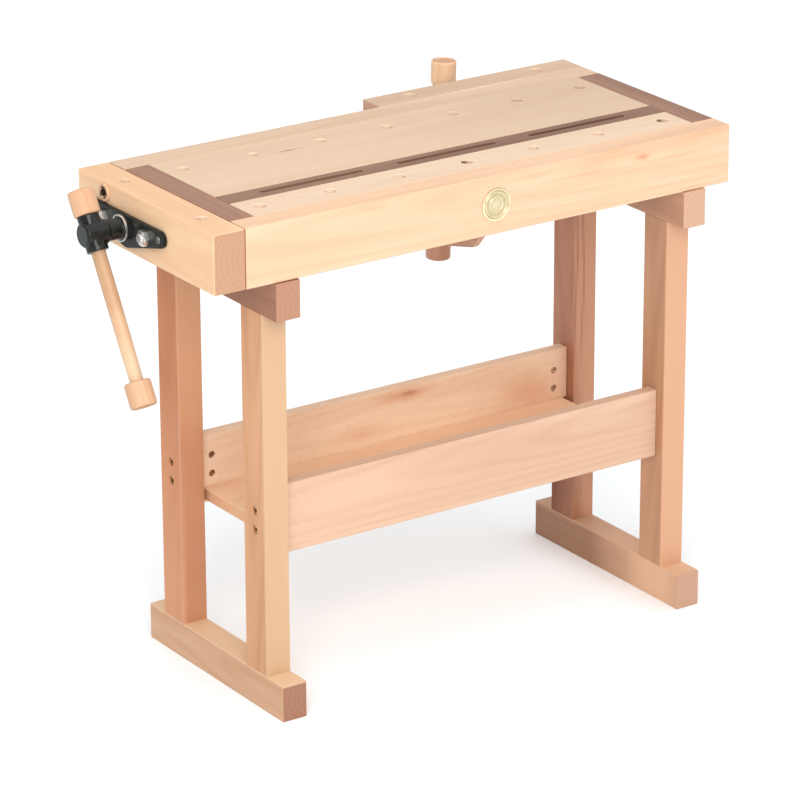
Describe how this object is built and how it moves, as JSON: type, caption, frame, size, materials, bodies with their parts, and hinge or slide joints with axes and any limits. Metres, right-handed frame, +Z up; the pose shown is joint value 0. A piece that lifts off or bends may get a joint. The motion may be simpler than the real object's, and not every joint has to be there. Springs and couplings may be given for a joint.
{
  "type": "woodworking bench with vises",
  "caption": "Beech joiner's bench on two trestles with a low shelf, walnut bands, dog holes, a full-width end vise and a front vise with sliding wooden handles.",
  "frame": {"origin": "on the floor under the middle of the outer box", "axes": "+X along the bench away from the end vise, +Y towards the front vise, +Z up"},
  "size_m": [1.0948, 0.5628, 0.8678],
  "materials": {
    "beech": "oiled beech, planed",
    "pale_beech": "oiled pale beech, planed",
    "walnut": "oiled walnut",
    "black_iron": "black gloss paint on iron",
    "zinc_steel": "bright zinc",
    "brass": "satin brass"
  },
  "bodies": {
    "bench": {"near_apron": "beech", "far_rail": "beech", "left_end_band": "walnut", "right_end_band": "walnut", "near_board": "pale_beech", "far_board": "pale_beech", "tool_slot_band": "walnut", "apron_badge": "brass", "middle_bearer": "beech", "left_foot": "beech", "left_bearer": "beech", "left_near_leg": "beech", "left_far_leg": "beech", "right_foot": "beech", "right_bearer": "beech", "right_near_leg": "beech", "right_far_leg": "beech", "near_stretcher": "beech", "far_stretcher": "beech", "shelf": "beech", "stretcher_bolt_near_left_low": "zinc_steel", "stretcher_bolt_near_left_high": "zinc_steel", "stretcher_bolt_near_right_low": "zinc_steel", "stretcher_bolt_near_right_high": "zinc_steel", "stretcher_bolt_far_left_low": "zinc_steel", "stretcher_bolt_far_left_high": "zinc_steel", "stretcher_bolt_far_right_low": "zinc_steel", "stretcher_bolt_far_right_high": "zinc_steel", "barrel_nut_near_left_low": "zinc_steel", "barrel_nut_near_left_high": "zinc_steel", "barrel_nut_near_right_low": "zinc_steel", "barrel_nut_near_right_high": "zinc_steel", "barrel_nut_far_left_low": "zinc_steel", "barrel_nut_far_left_high": "zinc_steel", "barrel_nut_far_right_low": "zinc_steel", "barrel_nut_far_right_high": "zinc_steel", "end_vise_back_plate": "black_iron", "front_vise_back_plate": "black_iron"},
    "end_jaw": {"end_jaw": "beech", "end_vise_plate": "black_iron", "end_guide_rod_a": "zinc_steel", "end_guide_rod_b": "zinc_steel", "end_rod_nut_a": "zinc_steel", "end_rod_nut_b": "zinc_steel", "end_jaw_ring": "pale_beech"},
    "end_screw": {"end_vise_screw": "black_iron"},
    "end_handle": {"end_handle_bar": "beech", "end_upper_knob": "beech", "end_lower_knob": "beech"},
    "front_jaw": {"front_jaw": "beech", "front_vise_plate": "black_iron", "front_guide_rod_a": "zinc_steel", "front_guide_rod_b": "zinc_steel", "front_rod_nut_a": "zinc_steel", "front_rod_nut_b": "zinc_steel"},
    "front_screw": {"front_vise_screw": "black_iron"},
    "front_handle": {"front_handle_bar": "beech", "front_upper_knob": "beech", "front_lower_knob": "beech"}
  },
  "joints": [
    {"name": "end_screw_turn", "type": "hinge", "parent": "end_jaw", "child": "end_screw", "pos_m": [-0.5254, -0.0184, 0.795], "axis": [-1, 0, 0], "range_deg": [0, 7200]},
    {"name": "end_jaw_slide", "type": "slide", "parent": "bench", "child": "end_jaw", "axis": [-1, 0, 0], "range_m": [0, 0.12]},
    {"name": "end_handle_slide", "type": "slide", "parent": "end_screw", "child": "end_handle", "axis": [0, 0.5075, 0.8616], "range_m": [0, 0.214]},
    {"name": "front_screw_turn", "type": "hinge", "parent": "front_jaw", "child": "front_screw", "pos_m": [0.3374, 0.2594, 0.795], "axis": [0, 1, 0], "range_deg": [0, 7200]},
    {"name": "front_jaw_slide", "type": "slide", "parent": "bench", "child": "front_jaw", "axis": [0, 1, 0], "range_m": [0, 0.12]},
    {"name": "front_handle_slide", "type": "slide", "parent": "front_screw", "child": "front_handle", "axis": [0.0349, 0, 0.9994], "range_m": [0, 0.214]}
  ],
  "couplings": [
    {"joint": "end_jaw_slide", "follows": "end_screw_turn", "m_per_rad": 0.0009549},
    {"joint": "front_jaw_slide", "follows": "front_screw_turn", "m_per_rad": 0.0009549}
  ]
}
